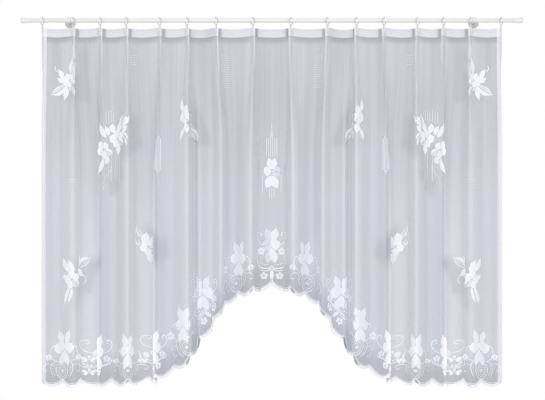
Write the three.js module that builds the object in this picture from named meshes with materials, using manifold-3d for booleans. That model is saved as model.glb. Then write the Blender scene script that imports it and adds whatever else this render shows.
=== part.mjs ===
// Net curtain with an arched, scalloped hem, hung by clips and rings on a rod with two wall brackets.
// Millimetres, +Z up. The room is at -Y and the wall is the plane Y = 0.
// The origin lies on the wall, midway between the brackets and level with the rod's axis.
// The left half is drawn, and the right half is its mirror image.

import * as THREE from 'three';
import Module from 'manifold-3d';
import { mergeVertices } from 'three/addons/utils/BufferGeometryUtils.js';

// Rod, caps and brackets
const ROD_FROM_WALL = 85;
const ROD_RADIUS = 9.5;
const ROD_WALL = 1;
const ROD_LENGTH = 2053;
const CAP_RADIUS = 12;
const CAP_LENGTH = 28.6;
const CAP_SLEEVE = 16;
const BRACKET_X = 852;
const BRACKET_DROP = 6;
const PLATE_RADIUS = 23;
const PLATE_THICKNESS = 4;
const ARM_RADIUS = 5.5;
const COLLAR_RADIUS = 13;
const COLLAR_WIDTH = 13;
const SCREW_RADIUS = 2.6;
const SCREW_LENGTH = 6;
const GAP = 0.3;

// Rings, and the clips that grip the top of each pleat
const WIRE_RADIUS = 1.75;
const RING_RADIUS = 15.4;
const RING_ROOM = 0.45;
const RING_TURN = 30;
const CLIP_DEPTH = 8;
const CLIP_WALL = 1;
const CLIP_ROOF = -28;
const CLIP_FOOT = -46;
const EYE_HALF_WIDTH = 2.6;
const EYE_HALF_HEIGHT = 2.9;
const EYE_WALL = 1.2;

// Cloth and heading tape
const NET_THICKNESS = 1.2;
const TAPE_THICKNESS = 1;
const TAPE_TOP = 1.5;
const TAPE_WIDTH = 32;
const TOP_EDGE = -30;
const TOP_SAG = 6;
const SIDE_X = -966;

// A pinched pleat: its depth before and behind the ring, and half the distance between its two layers
const PLEAT_FRONT = 18;
const PLEAT_REAR = 16;
const PLEAT_HALF = 2.2;
const END_PLEAT_FRONT = 6;
const END_PLEAT_REAR = 7;
const PINCH_LENGTH = 42;

// One row for each ring of the left half, from the side to the middle.
// x is its place on the rod, fullness the cloth for each millimetre of rod up to the next ring,
// and flare how far below the top edge its pleat has opened into a loose fold.
const RINGS = [
  { x: -963.5, fullness: 1.02, flare: 420 },
  { x: -834.9, fullness: 1.02, flare: 560 },
  { x: -721.6, fullness: 1.02, flare: 640 },
  { x: -612.4, fullness: 1.03, flare: 520 },
  { x: -471.7, fullness: 1.02, flare: 700 },
  { x: -356.2, fullness: 1.28, flare: 560 },
  { x: -234.4, fullness: 1.03, flare: 480 },
  { x: -80.2, fullness: 1.02, flare: 620 },
];

// One row for each loose fold low in the curtain, measured from the rod's axis.
// crest is its front edge, foot the bottom of the wall on its middle side, and back the place
// where the cloth starts forward again. pleat is the ring that it falls from, or -1 for none.
const FOLDS = [
  { pleat: -1, crestX: -959, crestY: -10, footX: -919, footY: 26, backX: -898, backY: 28 },
  { pleat: 1, crestX: -831, crestY: -30, footX: -789, footY: 22, backX: -717, backY: 24 },
  { pleat: 2, crestX: -734, crestY: -24, footX: -680, footY: 24, backX: -659, backY: 26 },
  { pleat: 3, crestX: -604, crestY: -34, footX: -566, footY: 28, backX: -482, backY: 26 },
  { pleat: 4, crestX: -499, crestY: -34, footX: -440, footY: 26, backX: -419, backY: 28 },
  { pleat: 5, crestX: -352, crestY: -30, footX: -329, footY: 24, backX: -322, backY: 20 },
  { pleat: -1, crestX: -306, crestY: -8, footX: -276, footY: 14, backX: -254, backY: 20 },
  { pleat: 6, crestX: -213, crestY: -36, footX: -176, footY: 38, backX: -155, backY: 38 },
  { pleat: 7, crestX: -87, crestY: -38, footX: -54, footY: 24, backX: -24, backY: 26 },
];
const EDGE_Y = -6;
const MIDDLE_Y = 27;

// The hem's arch: height at a distance along the flat cloth from the middle line
const HEM_ARCH = [
  { fromMiddle: 0, z: -1108 },
  { fromMiddle: 200, z: -1142 },
  { fromMiddle: 345, z: -1206 },
  { fromMiddle: 400, z: -1262 },
  { fromMiddle: 450, z: -1342 },
  { fromMiddle: 500, z: -1384 },
  { fromMiddle: 600, z: -1447 },
  { fromMiddle: 700, z: -1488 },
  { fromMiddle: 780, z: -1508 },
  { fromMiddle: 1000, z: -1517 },
  { fromMiddle: 1600, z: -1518 },
];
const SCALLOPS_PER_HALF = 15;
const SCALLOP_DEPTH = 23;

// Rows of the cloth: distances below the top edge, then shares of what is left down to the hem
const ROW_DROPS = [0, PINCH_LENGTH, 110, 210, 340, 520, 760, 1000];
const HEM_SHARES = [0.5, 1];
const PANEL_STEPS = 4;
const FOLD_STEPS = 8;
const STOP_SPACING = 9;
const SHARPEST_MITRE = 0.45;

// Sides and steps of the round pieces
const ROD_SIDES = 24;
const CAP_SIDES = 16;
const PLATE_SIDES = 32;
const RING_STEPS = 16;
const WIRE_SIDES = 5;

const wasm = await Module();
wasm.setup();

const mix = (a, b, share) => a + (b - a) * share;
const radians = (degrees) => THREE.MathUtils.degToRad(degrees);

function material(color, roughness, metalness) {
  return new THREE.MeshStandardMaterial({ color, roughness, metalness });
}

function part(name, geometry, finish) {
  const mesh = new THREE.Mesh(geometry, finish);
  mesh.name = name;
  return mesh;
}

// A point on the pleat of a ring: along its depth towards the room, and across it towards the middle
function pleatPoint(ringX, along, across) {
  const turn = radians(RING_TURN);
  return {
    x: ringX + along * Math.sin(turn) + across * Math.cos(turn),
    y: -along * Math.cos(turn) + across * Math.sin(turn),
    z: TOP_EDGE,
  };
}

// Straight cloth between two pleats, which bellies back and sags a little at its top edge
function panelPoints(start, end, fullness) {
  const span = end.x - start.x;
  const belly = span * Math.sqrt(0.375 * (fullness - 1));
  const points = [];
  for (let step = 1; step < PANEL_STEPS; step += 1) {
    const share = step / PANEL_STEPS;
    const hump = 4 * share * (1 - share);
    points.push({
      x: mix(start.x, end.x, share),
      y: mix(start.y, end.y, share) + belly * hump,
      z: TOP_EDGE - TOP_SAG * hump,
    });
  }
  return points;
}

// Gives each point its distance u along the cloth, counted up to 0 at the middle line
function measured(points) {
  let length = 0;
  points.forEach((point, index) => {
    if (index > 0) {
      length += Math.hypot(point.x - points[index - 1].x, point.y - points[index - 1].y);
    }
    point.u = length;
  });
  return points.map((point) => ({ ...point, u: point.u - length }));
}

// Section of the left half at the top: a half pleat in the end clip, then panels and pinched pleats
function topSection() {
  const centred = (GAP + TAPE_THICKNESS) / 2;
  const points = [
    pleatPoint(RINGS[0].x, END_PLEAT_FRONT, centred),
    pleatPoint(RINGS[0].x, -END_PLEAT_REAR, centred),
  ];
  for (let ring = 1; ring <= RINGS.length; ring += 1) {
    const before = points[points.length - 1];
    const last = ring === RINGS.length;
    if (last) {
      const mirrored = { ...before, x: -before.x };
      const half = panelPoints(before, mirrored, RINGS[ring - 1].fullness);
      points.push(...half.slice(0, PANEL_STEPS / 2));
    } else {
      const x = RINGS[ring].x;
      const rear = pleatPoint(x, -PLEAT_REAR, -PLEAT_HALF);
      points.push(...panelPoints(before, rear, RINGS[ring - 1].fullness), rear);
      points.push(pleatPoint(x, 0, -PLEAT_HALF));
      points.push(pleatPoint(x, PLEAT_FRONT - PLEAT_HALF, -PLEAT_HALF));
      points.push({ ...pleatPoint(x, PLEAT_FRONT, 0), pleat: ring });
      points.push(pleatPoint(x, PLEAT_FRONT - PLEAT_HALF, PLEAT_HALF));
      points.push(pleatPoint(x, 0, PLEAT_HALF));
      points.push(pleatPoint(x, -PLEAT_REAR, PLEAT_HALF));
    }
  }
  return measured(points);
}

// Section of the left half lower down: smooth loose folds, each crest level with its own pleat's tip
function lowSection(top) {
  const knots = [new THREE.Vector3(SIDE_X, EDGE_Y, 0)];
  const crests = [];
  for (const fold of FOLDS) {
    crests.push({ pleat: fold.pleat, index: knots.length * FOLD_STEPS });
    knots.push(new THREE.Vector3(fold.crestX, fold.crestY, 0));
    knots.push(new THREE.Vector3(fold.footX, fold.footY, 0));
    knots.push(new THREE.Vector3(fold.backX, fold.backY, 0));
  }
  knots.push(new THREE.Vector3(0, MIDDLE_Y, 0));
  const curve = new THREE.CatmullRomCurve3(knots, false, 'centripetal');
  const points = measured(curve.getPoints((knots.length - 1) * FOLD_STEPS));
  const anchors = [{ index: 0, u: top[0].u }];
  for (const crest of crests) {
    if (crest.pleat > 0) {
      anchors.push({ index: crest.index, u: top.find((point) => point.pleat === crest.pleat).u });
    }
  }
  anchors.push({ index: points.length - 1, u: 0 });
  const lengths = points.map((point) => point.u);
  for (let span = 1; span < anchors.length; span += 1) {
    const from = anchors[span - 1];
    const to = anchors[span];
    for (let index = from.index; index <= to.index; index += 1) {
      const share = (lengths[index] - lengths[from.index]) / (lengths[to.index] - lengths[from.index]);
      points[index].u = mix(from.u, to.u, share);
    }
  }
  return points;
}

// The value of a point list at u, straight between its points
function sampled(points, u) {
  let index = 1;
  while (index < points.length - 1 && points[index].u < u) {
    index += 1;
  }
  const from = points[index - 1];
  const to = points[index];
  const share = THREE.MathUtils.clamp((u - from.u) / (to.u - from.u), 0, 1);
  return { x: mix(from.x, to.x, share), y: mix(from.y, to.y, share), z: mix(from.z, to.z, share) };
}

const TOP = topSection();
const LOW = lowSection(TOP);
const HALF_WIDTH = -TOP[0].u;

// How far down the pleats have opened at u, from the rings on either side
function flareAt(u) {
  const stops = [{ u: TOP[0].u, flare: RINGS[0].flare }];
  for (const point of TOP) {
    if (point.pleat) {
      stops.push({ u: point.u, flare: RINGS[point.pleat].flare });
    }
  }
  stops.push({ u: 0, flare: RINGS[RINGS.length - 1].flare });
  const next = Math.max(1, stops.findIndex((stop) => stop.u >= u));
  const share = (u - stops[next - 1].u) / (stops[next].u - stops[next - 1].u);
  return mix(stops[next - 1].flare, stops[next].flare, share);
}

// The cloth's middle surface at u across the flat cloth and a distance below the top edge
function drape(u, drop) {
  const side = Math.min(-Math.abs(u), 0);
  const top = sampled(TOP, side);
  const low = sampled(LOW, side);
  const opened = THREE.MathUtils.smoothstep(drop, PINCH_LENGTH, flareAt(side));
  const x = mix(top.x, low.x, opened);
  return { x: u > 0 ? -x : x, y: mix(top.y, low.y, opened), z: top.z - drop };
}

// Height of the hem's arch, without its scallops
function archHeight(u) {
  const away = Math.abs(u);
  const next = HEM_ARCH.findIndex((row) => row.fromMiddle > away);
  const from = HEM_ARCH[next - 1];
  const to = HEM_ARCH[next];
  return mix(from.z, to.z, (away - from.fromMiddle) / (to.fromMiddle - from.fromMiddle));
}

// Places of the scallops' cusps, evenly spaced along the arch from the middle to the side
function scallopCusps() {
  const step = 1;
  const lengths = [0];
  for (let away = step; away <= HALF_WIDTH; away += step) {
    const rise = archHeight(away) - archHeight(away - step);
    lengths.push(lengths[lengths.length - 1] + Math.hypot(step, rise));
  }
  const pitch = lengths[lengths.length - 1] / SCALLOPS_PER_HALF;
  const cusps = [];
  for (let count = 0; count < SCALLOPS_PER_HALF; count += 1) {
    cusps.push(lengths.findIndex((length) => length >= count * pitch) * step);
  }
  cusps.push(HALF_WIDTH);
  return cusps;
}

const CUSPS = scallopCusps();

function hemHeight(u) {
  const away = Math.min(Math.abs(u), HALF_WIDTH);
  const next = Math.max(1, CUSPS.findIndex((cusp) => cusp >= away));
  const share = (away - CUSPS[next - 1]) / (CUSPS[next] - CUSPS[next - 1]);
  return archHeight(u) - SCALLOP_DEPTH * 4 * share * (1 - share);
}

// Places across the cloth where its mesh has a column: the section's own points, then the
// cusps and low points of the scallops where they are not close to another column
function columnStops() {
  const stops = TOP.map((point) => point.u);
  const lows = CUSPS.slice(1).map((cusp, index) => (cusp + CUSPS[index]) / 2);
  for (const away of [...CUSPS, ...lows]) {
    if (stops.every((stop) => Math.abs(stop + away) > STOP_SPACING)) {
      stops.push(-away);
    }
  }
  stops.sort((a, b) => a - b);
  const right = stops.filter((stop) => stop < 0).map((stop) => -stop).reverse();
  return [...stops, ...right];
}

// A row of points moved off the middle surface by an amount towards the wall, with mitred corners
function offsetRow(row, amount) {
  return row.map((point, index) => {
    const before = row[Math.max(index - 1, 0)];
    const after = row[Math.min(index + 1, row.length - 1)];
    const one = new THREE.Vector2(point.x - before.x, point.y - before.y).normalize();
    const two = new THREE.Vector2(after.x - point.x, after.y - point.y).normalize();
    const along = one.clone().add(two).normalize();
    const half = Math.max(along.dot(one.lengthSq() > 0 ? one : two), SHARPEST_MITRE);
    const shift = amount / half;
    return new THREE.Vector3(point.x - along.y * shift, point.y + along.x * shift, point.z);
  });
}

// A closed sheet through rows of points, between two distances from its middle surface
function sheet(rows, front, back) {
  const grids = [front, back].map((amount) => rows.map((row) => offsetRow(row, amount)).flat());
  const columns = rows[0].length;
  const size = rows.length * columns;
  const faces = [];
  const quad = (a, b, c, d) => faces.push(a, b, c, a, c, d);
  for (let row = 0; row < rows.length - 1; row += 1) {
    for (let column = 0; column < columns - 1; column += 1) {
      const a = row * columns + column;
      quad(a, a + columns, a + columns + 1, a + 1);
      quad(size + a, size + a + 1, size + a + columns + 1, size + a + columns);
    }
  }
  for (let column = 0; column < columns - 1; column += 1) {
    const last = size - columns + column;
    quad(column, column + 1, size + column + 1, size + column);
    quad(last + 1, last, size + last, size + last + 1);
  }
  for (let row = 0; row < rows.length - 1; row += 1) {
    const left = row * columns;
    const right = left + columns - 1;
    quad(left + columns, left, size + left, size + left + columns);
    quad(right, right + columns, size + right + columns, size + right);
  }
  const geometry = new THREE.BufferGeometry();
  const positions = new Float32Array(grids.flat().flatMap((point) => point.toArray()));
  geometry.setAttribute('position', new THREE.BufferAttribute(positions, 3));
  geometry.setIndex(faces);
  return geometry;
}

function curtainGeometry() {
  const stops = columnStops();
  const rows = ROW_DROPS.map((drop) => stops.map((u) => drape(u, drop)));
  const lastDrop = ROW_DROPS[ROW_DROPS.length - 1];
  for (const share of HEM_SHARES) {
    rows.push(stops.map((u) => {
      const edge = drape(u, 0).z;
      return drape(u, mix(lastDrop, edge - hemHeight(u), share));
    }));
  }
  return sheet(rows, -NET_THICKNESS / 2, NET_THICKNESS / 2);
}

function tapeGeometry() {
  const left = TOP.map((point) => point.u);
  const right = left.slice(0, -1).map((u) => -u).reverse();
  const stops = [...left, ...right];
  const rows = [TAPE_TOP, TAPE_TOP + TAPE_WIDTH].map((drop) => stops.map((u) => drape(u, drop)));
  const front = NET_THICKNESS / 2 + GAP;
  return sheet(rows, front, front + TAPE_THICKNESS);
}

// A turned piece from its profile, given as radius and height along its axis
function turned(profile, sides) {
  return new THREE.LatheGeometry(profile.map(([radius, y]) => new THREE.Vector2(radius, y)), sides);
}

function rodGeometry() {
  const half = ROD_LENGTH / 2;
  const inner = ROD_RADIUS - ROD_WALL;
  const profile = [[inner, -half], [ROD_RADIUS, -half], [ROD_RADIUS, half], [inner, half], [inner, -half]];
  return turned(profile, ROD_SIDES).rotateZ(radians(90));
}

// End cap: a spigot in the tube, a short sleeve over it and a drum with a rounded end
function capGeometry() {
  const inside = ROD_RADIUS - ROD_WALL - GAP;
  const outside = ROD_RADIUS + GAP;
  const sleeve = outside + 1;
  const profile = [
    [0, -CAP_SLEEVE], [inside, -CAP_SLEEVE], [inside, GAP], [outside, GAP], [outside, -CAP_SLEEVE],
    [sleeve, -CAP_SLEEVE], [sleeve, 1], [CAP_RADIUS - 0.6, 2], [CAP_RADIUS, 4],
    [CAP_RADIUS, CAP_LENGTH - 4], [CAP_RADIUS - 1.2, CAP_LENGTH - 1.2], [CAP_RADIUS - 4, CAP_LENGTH],
    [0, CAP_LENGTH],
  ];
  return turned(profile, CAP_SIDES).rotateZ(radians(-90));
}

// Round wall plate with an eased front edge, its back flat on the wall
function plateGeometry() {
  const ease = 1.5;
  const profile = [
    [0, 0], [PLATE_RADIUS, 0], [PLATE_RADIUS, PLATE_THICKNESS - ease],
    [PLATE_RADIUS - ease, PLATE_THICKNESS], [0, PLATE_THICKNESS],
  ];
  return turned(profile, PLATE_SIDES).rotateX(radians(180));
}

function solidOf(geometry) {
  const bare = geometry.clone();
  bare.deleteAttribute('normal');
  bare.deleteAttribute('uv');
  const merged = mergeVertices(bare, 1e-4);
  return new wasm.Manifold(new wasm.Mesh({
    numProp: 3,
    vertProperties: new Float32Array(merged.attributes.position.array),
    triVerts: new Uint32Array(merged.index.array),
  }));
}

function geometryOf(solid) {
  const mesh = solid.getMesh();
  const geometry = new THREE.BufferGeometry();
  geometry.setAttribute('position', new THREE.BufferAttribute(mesh.vertProperties, 3));
  geometry.setIndex(new THREE.BufferAttribute(mesh.triVerts, 1));
  return geometry;
}

// Bracket arm: a bar from the wall plate that ends in a collar around the rod
function armGeometry() {
  const section = new THREE.Shape().absarc(0, 0, COLLAR_RADIUS, 0, 2 * Math.PI);
  section.holes.push(new THREE.Path().absarc(0, 0, ROD_RADIUS + GAP, 0, 2 * Math.PI));
  const settings = { depth: COLLAR_WIDTH, bevelEnabled: false, curveSegments: 12 };
  const collar = new THREE.ExtrudeGeometry(section, settings);
  collar.translate(0, 0, -COLLAR_WIDTH / 2).rotateY(radians(90));
  const start = ROD_RADIUS + 0.7;
  const end = ROD_FROM_WALL - PLATE_THICKNESS - GAP;
  const bar = new THREE.CylinderGeometry(ARM_RADIUS, ARM_RADIUS, end - start, 16);
  bar.translate(0, (start + end) / 2, -BRACKET_DROP);
  return geometryOf(solidOf(collar).add(solidOf(bar)));
}

function screwGeometry() {
  const geometry = new THREE.CylinderGeometry(SCREW_RADIUS, SCREW_RADIUS, SCREW_LENGTH, 12);
  return geometry.rotateX(radians(90)).translate(0, 0, -COLLAR_RADIUS - GAP - SCREW_LENGTH / 2);
}

// Clip: two jaws with the cloth between them, and an eye above for the ring's wire
function clipGeometry(jawHalf) {
  const wireRise = RING_RADIUS - Math.sqrt(RING_RADIUS ** 2 - (CLIP_DEPTH / 2) ** 2);
  const wireTop = ringCentre() - RING_RADIUS + wireRise + WIRE_RADIUS;
  const eyeZ = wireTop + GAP - EYE_HALF_HEIGHT;
  const outer = jawHalf + CLIP_WALL;
  const outline = new THREE.Shape();
  outline.moveTo(-outer, CLIP_FOOT);
  outline.lineTo(-jawHalf, CLIP_FOOT);
  outline.lineTo(-jawHalf, CLIP_ROOF);
  outline.lineTo(jawHalf, CLIP_ROOF);
  outline.lineTo(jawHalf, CLIP_FOOT);
  outline.lineTo(outer, CLIP_FOOT);
  outline.lineTo(outer, CLIP_ROOF + CLIP_WALL);
  outline.absellipse(0, eyeZ, EYE_HALF_WIDTH + EYE_WALL, EYE_HALF_HEIGHT + EYE_WALL,
    radians(-35), radians(215), false, 0);
  outline.lineTo(-outer, CLIP_ROOF + CLIP_WALL);
  outline.closePath();
  const eye = new THREE.Path();
  eye.absellipse(0, eyeZ, EYE_HALF_WIDTH, EYE_HALF_HEIGHT, 0, 2 * Math.PI, false, 0);
  outline.holes.push(eye);
  const settings = { depth: CLIP_DEPTH, bevelEnabled: false, curveSegments: 5 };
  const geometry = new THREE.ExtrudeGeometry(outline, settings);
  return geometry.translate(0, 0, -CLIP_DEPTH / 2).rotateX(radians(90)).rotateZ(radians(90));
}

// Height of a ring's centre when its top hangs on the rod
function ringCentre() {
  return ROD_RADIUS + RING_ROOM - (RING_RADIUS - WIRE_RADIUS);
}

function ringGeometry() {
  const geometry = new THREE.TorusGeometry(RING_RADIUS, WIRE_RADIUS, WIRE_SIDES, RING_STEPS);
  return geometry.rotateX(radians(90)).translate(0, 0, ringCentre());
}

// The turn about the vertical that brings +X onto a pleat, from the wall towards the room
function pleatTurn(mirrored) {
  return radians(-90 + (mirrored ? -RING_TURN : RING_TURN));
}

const curtainGroup = new THREE.Group();
const onRod = new THREE.Group();
onRod.position.y = -ROD_FROM_WALL;
curtainGroup.add(onRod);

onRod.add(part('curtain', curtainGeometry(), material(0xd3d4dc, 0.9, 0)));
onRod.add(part('heading_tape', tapeGeometry(), material(0xe9e9ec, 0.85, 0)));
onRod.add(part('rod', rodGeometry(), material(0xececee, 0.35, 0)));

for (const [name, side] of [['left', -1], ['right', 1]]) {
  const cap = part(`end_cap_${name}`, capGeometry(), material(0xe6e6e8, 0.35, 0));
  cap.position.x = side * ROD_LENGTH / 2;
  cap.rotation.z = side < 0 ? Math.PI : 0;
  onRod.add(cap);
  const plate = part(`wall_plate_${name}`, plateGeometry(), material(0xe4e4e6, 0.4, 0));
  plate.position.set(side * BRACKET_X, 0, -BRACKET_DROP);
  curtainGroup.add(plate);
  const arm = part(`bracket_arm_${name}`, armGeometry(), material(0xe4e4e6, 0.4, 0));
  arm.position.x = side * BRACKET_X;
  onRod.add(arm);
  const screw = part(`set_screw_${name}`, screwGeometry(), material(0xb9bac0, 0.4, 0.6));
  screw.position.x = side * BRACKET_X;
  onRod.add(screw);
}

// A pleat has two layers of net and tape in its clip, and the side edge has one of each
const clothInClip = NET_THICKNESS + GAP + TAPE_THICKNESS;
RINGS.forEach((row, index) => {
  for (const mirrored of [false, true]) {
    const number = String(mirrored ? 2 * RINGS.length - index : index + 1).padStart(2, '0');
    const atSide = index === 0;
    const holder = new THREE.Group();
    holder.position.x = mirrored ? -row.x : row.x;
    holder.rotation.z = pleatTurn(mirrored);
    holder.add(part(`ring_${number}`, ringGeometry(), material(0xf0f0f2, 0.3, 0)));
    const jawHalf = atSide ? clothInClip / 2 + GAP : PLEAT_HALF + NET_THICKNESS / 2 + GAP;
    holder.add(part(`clip_${number}`, clipGeometry(jawHalf), material(0xf2f2f4, 0.35, 0)));
    onRod.add(holder);
  }
});

export default curtainGroup;
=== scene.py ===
import math

import bpy
import numpy as np
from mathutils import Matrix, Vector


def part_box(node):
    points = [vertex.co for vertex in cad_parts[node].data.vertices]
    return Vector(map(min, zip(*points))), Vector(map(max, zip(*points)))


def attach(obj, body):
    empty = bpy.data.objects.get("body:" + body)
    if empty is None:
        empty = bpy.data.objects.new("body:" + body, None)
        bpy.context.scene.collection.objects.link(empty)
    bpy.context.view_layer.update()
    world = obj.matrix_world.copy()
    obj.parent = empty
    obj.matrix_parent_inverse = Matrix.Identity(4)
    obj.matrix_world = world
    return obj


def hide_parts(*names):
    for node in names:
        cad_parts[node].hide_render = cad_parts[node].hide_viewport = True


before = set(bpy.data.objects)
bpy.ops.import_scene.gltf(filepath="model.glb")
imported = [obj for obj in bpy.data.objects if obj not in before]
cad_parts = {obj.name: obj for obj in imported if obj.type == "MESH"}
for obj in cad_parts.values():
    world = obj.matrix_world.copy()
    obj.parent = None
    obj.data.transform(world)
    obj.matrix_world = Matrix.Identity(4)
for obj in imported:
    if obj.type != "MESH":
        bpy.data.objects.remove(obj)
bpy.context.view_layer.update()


# Rod: one steel tube, stoved with white lacquer. It is drawn and cut to length, and its cut
# ends are hidden in the caps. It hangs in the collars of the two brackets.

class Value:
    """A number that runs between nodes: arithmetic on it adds the Math nodes."""

    def __init__(self, finish, socket):
        self.finish = finish
        self.socket = socket

    def reckon(self, operation, *others):
        values = dict(enumerate((self, *others)))
        return self.finish.node("ShaderNodeMath", {"operation": operation}, values)

    def __add__(self, other):
        return self.reckon("ADD", other)

    def __sub__(self, other):
        return self.reckon("SUBTRACT", other)

    def __rsub__(self, other):
        return self.finish.node("ShaderNodeMath", {"operation": "SUBTRACT"}, {0: other, 1: self})

    def __mul__(self, other):
        return self.reckon("MULTIPLY", other)

    __radd__ = __add__
    __rmul__ = __mul__


class Finish:
    """A material as it is mixed. node() adds one node and hands back one of its outputs."""

    def __init__(self, name, color, roughness, metallic=0.0):
        self.material = bpy.data.materials.new(name)
        self.material.use_nodes = True
        self.tree = self.material.node_tree
        self.shader = self.tree.nodes["Principled BSDF"]
        self.feed("Base Color", (*color, 1.0))
        self.feed("Roughness", roughness)
        self.feed("Metallic", metallic)

    def put(self, socket, value):
        if isinstance(value, Value):
            self.tree.links.new(value.socket, socket)
        else:
            socket.default_value = value

    def feed(self, name, value):
        self.put(self.shader.inputs[name], value)

    def node(self, kind, settings, values, output=0):
        made = self.tree.nodes.new(kind)
        for key, value in settings.items():
            setattr(made, key, value)
        for key, value in values.items():
            self.put(made.inputs[key], value)
        return Value(self, made.outputs[output])

    def place(self, output="Object"):
        return self.node("ShaderNodeTexCoord", {}, {}, output)

    def noise(self, place, scale):
        return self.node("ShaderNodeTexNoise", {}, {"Vector": place, "Scale": scale, "Detail": 3.0})

    def blend(self, share, first, second):
        """A colour between two others, each either three numbers or a socket."""
        first, second = (part if isinstance(part, Value) else (*part, 1.0) for part in (first, second))
        return self.node("ShaderNodeMix", {"data_type": "RGBA"}, {0: share, 6: first, 7: second}, 2)

    def bump(self, height, distance, strength=1.0):
        values = {"Height": height, "Distance": distance, "Strength": strength}
        self.feed("Normal", self.node("ShaderNodeBump", {}, values))


def choose(piece):
    """Selects this piece alone and makes it the active one."""
    bpy.ops.object.select_all(action="DESELECT")
    piece.select_set(True)
    bpy.context.view_layer.objects.active = piece


def new_object(name, corners, edges, faces):
    mesh = bpy.data.meshes.new(name)
    mesh.from_pydata(corners, edges, faces)
    piece = bpy.data.objects.new(name, mesh)
    bpy.context.collection.objects.link(piece)
    choose(piece)
    return piece


def apply_modifiers(piece):
    choose(piece)
    for modifier in list(piece.modifiers):
        bpy.ops.object.modifier_apply(modifier=modifier.name)


def turned_piece(name, profile, centre, steps=48):
    """A piece turned about an axis along X: its profile is given as (place along X, radius)."""
    corners = [(centre[0] + along, centre[1], centre[2] + radius) for along, radius in profile]
    edges = [(index, index + 1) for index in range(len(corners) - 1)]
    piece = new_object(name, corners, edges, [])
    bpy.ops.object.mode_set(mode="EDIT")
    bpy.ops.mesh.select_all(action="SELECT")
    bpy.ops.mesh.spin(steps=steps, angle=math.tau, center=centre, axis=(1, 0, 0))
    bpy.ops.mesh.select_all(action="SELECT")
    bpy.ops.mesh.remove_doubles(threshold=0.00002)
    bpy.ops.mesh.normals_make_consistent(inside=False)
    bpy.ops.object.mode_set(mode="OBJECT")
    return piece


def eased(piece, width):
    """Rounds the piece's edges with a small bevel and shades the rest smooth."""
    bevel = piece.modifiers.new("bevel", "BEVEL")
    bevel.width = width
    bevel.segments = 2
    bevel.angle_limit = math.radians(35)
    apply_modifiers(piece)
    bpy.ops.object.shade_smooth_by_angle(angle=math.radians(40))


def settle(piece, finish, slot, *nodes):
    """Gives a finished piece its material and body, and hides the nodes that it stands for; its slot is not
    used.
    """
    piece.data.materials.clear()
    piece.data.materials.append(finish.material)
    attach(piece, "root")
    if nodes:
        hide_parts(*nodes)


def lacquer(name, color, roughness):
    """Stoved white lacquer: slightly uneven gloss, faint orange peel and a thin clear coat."""
    finish = Finish(name, color, roughness)
    place = finish.place()
    finish.feed("Roughness", roughness + 0.12 * (finish.noise(place, 60.0) - 0.5))
    shade = tuple(0.93 * part for part in color)
    finish.feed("Base Color", finish.blend(finish.noise(place, 9.0), color, shade))
    finish.feed("Coat Weight", 0.35)
    finish.bump(finish.noise(place, 900.0), 0.00002)
    return finish


def middle_of(low, high):
    """The centre of a box, from its two corners."""
    return tuple((first + last) / 2 for first, last in zip(low, high))


rod_low, rod_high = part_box("rod")
rod_centre = middle_of(rod_low, rod_high)
rod_half = (rod_high[0] - rod_low[0]) / 2
rod_radius = 0.0095
rod_bore = 0.0085
rod = turned_piece("rod_tube", [(-rod_half, rod_bore), (-rod_half, rod_radius), (rod_half, rod_radius),
                                (rod_half, rod_bore), (-rod_half, rod_bore)], rod_centre, 64)
eased(rod, 0.0002)
white_lacquer = lacquer("white_lacquer", (0.72, 0.72, 0.72), 0.38)
settle(rod, white_lacquer, "rod", "rod")


# End caps: two moulded drums with a short sleeve over the rod, a groove at the shoulder and a
# domed end. Each is pushed on the rod's end by its spigot.

cap_radius = 0.012
cap_length = 0.0286
cap_sleeve = 0.016
cap_profile = [
    (-cap_sleeve, 0.0), (-cap_sleeve, 0.0082), (0.0003, 0.0082), (0.0003, 0.0098), (-cap_sleeve, 0.0098),
    (-cap_sleeve, 0.0106), (-cap_sleeve + 0.0006, 0.0108), (-cap_sleeve + 0.0028, 0.0108),
    (-cap_sleeve + 0.0034, 0.0104), (-0.0006, 0.0104), (0.0, 0.0107), (0.0016, 0.0112), (0.0032, 0.0118),
    (0.0046, cap_radius), (0.0230, cap_radius), (0.0252, 0.0116), (0.0270, 0.0102), (0.0281, 0.0070),
    (cap_length, 0.0030), (cap_length, 0.0),
]
cap_white = lacquer("cap_white", (0.72, 0.72, 0.72), 0.42)
for side_name, side in (("left", -1), ("right", 1)):
    end = (rod_centre[0] + side * rod_half, rod_centre[1], rod_centre[2])
    profile = [(side * along, radius) for along, radius in cap_profile]
    cap = turned_piece(f"cap_{side_name}", profile, end)
    eased(cap, 0.0002)
    settle(cap, cap_white, "caps", f"end_cap_{side_name}")


# Brackets: a round rosette screwed flat to the wall, a bar that stands out from it, and a
# collar that the rod lies in. They are cast, lacquered white and clamped by a small set screw.

collar_bore = 0.0098
collar_radius = 0.013
collar_half = 0.0065
collar_round = 0.0006
arm_radius = 0.0055
plate_radius = 0.023
plate_thickness = 0.004
screw_radius = 0.0026
screw_length = 0.006
slot_rim = 0.0009
slot_depth = 0.0012


def turned_outward(name, profile, centre):
    """A turned piece whose axis runs along Y: distances along the axis run from the wall out."""
    piece = turned_piece(name, profile, (0.0, 0.0, 0.0))
    choose(piece)
    piece.rotation_euler = (0.0, 0.0, math.radians(-90))
    piece.location = centre
    bpy.ops.object.transform_apply(location=True, rotation=True, scale=True)
    return piece


def joined(first, *others):
    """One mesh from pieces that run into each other."""
    for other in others:
        union = first.modifiers.new("union", "BOOLEAN")
        union.operation = "UNION"
        union.object = other
        apply_modifiers(first)
        bpy.data.objects.remove(other)
    return first


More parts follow.
